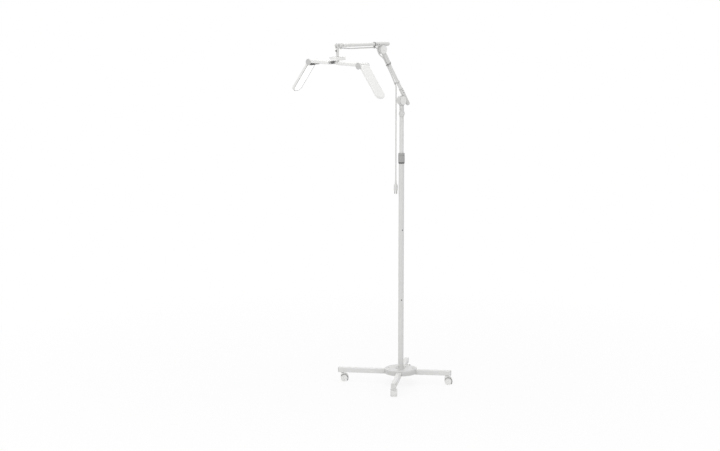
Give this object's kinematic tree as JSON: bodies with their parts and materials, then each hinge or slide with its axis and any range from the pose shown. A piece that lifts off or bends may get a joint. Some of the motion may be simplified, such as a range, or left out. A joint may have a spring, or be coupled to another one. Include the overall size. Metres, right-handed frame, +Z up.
{
  "type": "rolling_task_floor_lamp",
  "caption": "White rolling floor lamp: four-leg caster base, telescopic pole, jointed arm and boom, and a swivelling two-wing LED head with a clipped lead and plug.",
  "frame": {"origin": "Centre of the lamp's bounding box on the floor, under the wheels, without the lead and its plug.", "axes": "+Z up along the pole. -Y is the way the boom reaches. The two wings spread along +X and -X."},
  "size_m": [0.6134, 0.7112, 1.7797],
  "materials": {
    "white_painted_metal": "satin powder coat",
    "white_plastic": "fine satin moulded",
    "pale_grey_plastic": "satin moulded",
    "bright_steel": "bright zinc plated",
    "grey_plastic": "fine matt",
    "dark_plastic": "matt",
    "aluminium": "natural",
    "opal_diffuser": "opal satin",
    "cord_jacket": "smooth satin"
  },
  "bodies": {
    "base": {"leg_left": "white_painted_metal", "leg_front": "white_painted_metal", "leg_right": "white_painted_metal", "leg_rear": "white_painted_metal", "leg_plug_left": "white_plastic", "leg_plug_front": "white_plastic", "leg_plug_right": "white_plastic", "leg_plug_rear": "white_plastic", "hub_spider": "bright_steel", "hub_cover": "white_painted_metal", "pole_flange": "bright_steel", "lower_pole": "white_painted_metal"},
    "caster_left": {"caster_left_hood": "white_plastic"},
    "wheels_left": {"caster_left_wheels": "pale_grey_plastic"},
    "caster_front": {"caster_front_hood": "white_plastic"},
    "wheels_front": {"caster_front_wheels": "pale_grey_plastic"},
    "caster_right": {"caster_right_hood": "white_plastic"},
    "wheels_right": {"caster_right_wheels": "pale_grey_plastic"},
    "caster_rear": {"caster_rear_hood": "white_plastic"},
    "wheels_rear": {"caster_rear_wheels": "pale_grey_plastic"},
    "collar": {"lock_collar": "grey_plastic"},
    "mast": {"upper_pole": "white_painted_metal", "guide_bush": "dark_plastic", "pole_top_spigot": "aluminium"},
    "post": {"arm_post": "white_plastic", "shoulder_cap": "white_plastic", "shoulder_bolt": "bright_steel"},
    "post_knob": {"clamp_knob": "white_plastic"},
    "lower_arm": {"shoulder_bracket": "white_plastic", "lower_arm_tube": "white_painted_metal", "elbow_bracket": "white_plastic", "elbow_cap": "white_plastic", "elbow_bolt": "bright_steel", "cord_arm": "cord_jacket", "cord_elbow": "cord_jacket"},
    "hanging_lead": {"cord_drop": "cord_jacket", "cord_plug": "pale_grey_plastic"},
    "boom": {"boom_bracket": "white_plastic", "boom_tube": "white_painted_metal", "boom_fork": "white_plastic", "cord_boom": "cord_jacket"},
    "head_stem": {"head_clevis": "white_plastic"},
    "tilt_knob": {"head_screw": "pale_grey_plastic"},
    "swivel_knob": {"swivel_screw": "grey_plastic"},
    "head": {"head_spigot": "bright_steel", "box_tray": "white_plastic", "box_lid": "white_plastic", "centre_bracket": "white_painted_metal", "link_left": "white_plastic", "link_right": "white_plastic", "wing_pin_left": "pale_grey_plastic", "wing_pin_right": "pale_grey_plastic"},
    "power_key": {"power_button": "pale_grey_plastic"},
    "dimmer_key": {"dimmer_button": "pale_grey_plastic"},
    "wing_left": {"wing_shell_left": "white_plastic", "diffuser_left": "opal_diffuser", "led_board_left": "aluminium"},
    "wing_right": {"wing_shell_right": "white_plastic", "diffuser_right": "opal_diffuser", "led_board_right": "aluminium"}
  },
  "joints": [
    {"name": "swivel_left", "type": "hinge", "parent": "base", "child": "caster_left", "pos_m": [-0.24279, -0.04825, 0.056], "axis": [0, 0, 1], "continuous": true},
    {"name": "roll_left", "type": "hinge", "parent": "caster_left", "child": "wheels_left", "pos_m": [-0.23713, -0.04259, 0.018], "axis": [0.7071, -0.7071, 0], "continuous": true},
    {"name": "swivel_front", "type": "hinge", "parent": "base", "child": "caster_front", "pos_m": [0.17573, -0.0985, 0.056], "axis": [0, 0, 1], "continuous": true},
    {"name": "roll_front", "type": "hinge", "parent": "caster_front", "child": "wheels_front", "pos_m": [0.17007, -0.09284, 0.018], "axis": [0.7071, 0.7071, 0], "continuous": true},
    {"name": "swivel_right", "type": "hinge", "parent": "base", "child": "caster_right", "pos_m": [0.19087, 0.27853, 0.056], "axis": [0, 0, 1], "continuous": true},
    {"name": "roll_right", "type": "hinge", "parent": "caster_right", "child": "wheels_right", "pos_m": [0.19653, 0.28419, 0.018], "axis": [0.7071, -0.7071, 0], "continuous": true},
    {"name": "swivel_rear", "type": "hinge", "parent": "base", "child": "caster_rear", "pos_m": [-0.14383, 0.32557, 0.056], "axis": [0, 0, 1], "continuous": true},
    {"name": "roll_rear", "type": "hinge", "parent": "caster_rear", "child": "wheels_rear", "pos_m": [-0.14657, 0.33309, 0.018], "axis": [0.9397, 0.342, 0], "continuous": true},
    {"name": "collar_twist", "type": "hinge", "parent": "base", "child": "collar", "pos_m": [0, 0.1347, 1.175], "axis": [0, 0, 1], "range_deg": [-60, 60]},
    {"name": "pole_slide", "type": "slide", "parent": "base", "child": "mast", "axis": [0, 0, 1], "range_m": [-0.18, 0.25]},
    {"name": "post_turn", "type": "hinge", "parent": "mast", "child": "post", "pos_m": [0, 0.1347, 1.405], "axis": [0, 0, 1], "range_deg": [-170, 170]},
    {"name": "post_knob_turn", "type": "hinge", "parent": "post", "child": "post_knob", "pos_m": [0, 0.1347, 1.406], "axis": [0.7071, -0.7071, 0], "range_deg": [-180, 180]},
    {"name": "shoulder", "type": "hinge", "parent": "post", "child": "lower_arm", "pos_m": [0, 0.1347, 1.47], "axis": [1, 0, 0], "range_deg": [-4, 40], "deforming": ["cord_drop"]},
    {"name": "lead_hang", "type": "hinge", "parent": "lower_arm", "child": "hanging_lead", "pos_m": [-0.008, 0.09634, 1.5534], "axis": [1, 0, 0], "range_deg": [-40, 4], "deforming": ["cord_drop"]},
    {"name": "elbow", "type": "hinge", "parent": "lower_arm", "child": "boom", "pos_m": [0, -0.00883, 1.73482], "axis": [1, 0, 0], "range_deg": [-40, 55], "deforming": ["cord_elbow"]},
    {"name": "head_tilt", "type": "hinge", "parent": "boom", "child": "head_stem", "pos_m": [0, -0.31908, 1.76941], "axis": [1, 0, 0], "range_deg": [-30, 8]},
    {"name": "tilt_knob_turn", "type": "hinge", "parent": "head_stem", "child": "tilt_knob", "pos_m": [0, -0.31908, 1.76941], "axis": [1, 0, 0], "range_deg": [-180, 180]},
    {"name": "swivel_knob_turn", "type": "hinge", "parent": "head_stem", "child": "swivel_knob", "pos_m": [0, -0.32908, 1.74341], "axis": [0, 1, 0], "range_deg": [-180, 180]},
    {"name": "head_turn", "type": "hinge", "parent": "head_stem", "child": "head", "pos_m": [0, -0.31908, 1.72941], "axis": [0, 0, 1], "range_deg": [-75, 75]},
    {"name": "wing_fold_left", "type": "hinge", "parent": "head", "child": "wing_left", "pos_m": [-0.174, -0.31908, 1.68061], "axis": [0, -1, 0], "range_deg": [-60, 45]},
    {"name": "wing_fold_right", "type": "hinge", "parent": "head", "child": "wing_right", "pos_m": [0.174, -0.31908, 1.68061], "axis": [0, 1, 0], "range_deg": [-60, 45]},
    {"name": "power_press", "type": "slide", "parent": "head", "child": "power_key", "axis": [0, 0, 1], "range_m": [-0.0008, 0], "stiffness_N_per_m": 400},
    {"name": "dimmer_press", "type": "slide", "parent": "head", "child": "dimmer_key", "axis": [0, 0, 1], "range_m": [-0.0008, 0], "stiffness_N_per_m": 400}
  ],
  "couplings": [
    {"joint": "lead_hang", "follows": "shoulder", "ratio": -1}
  ]
}
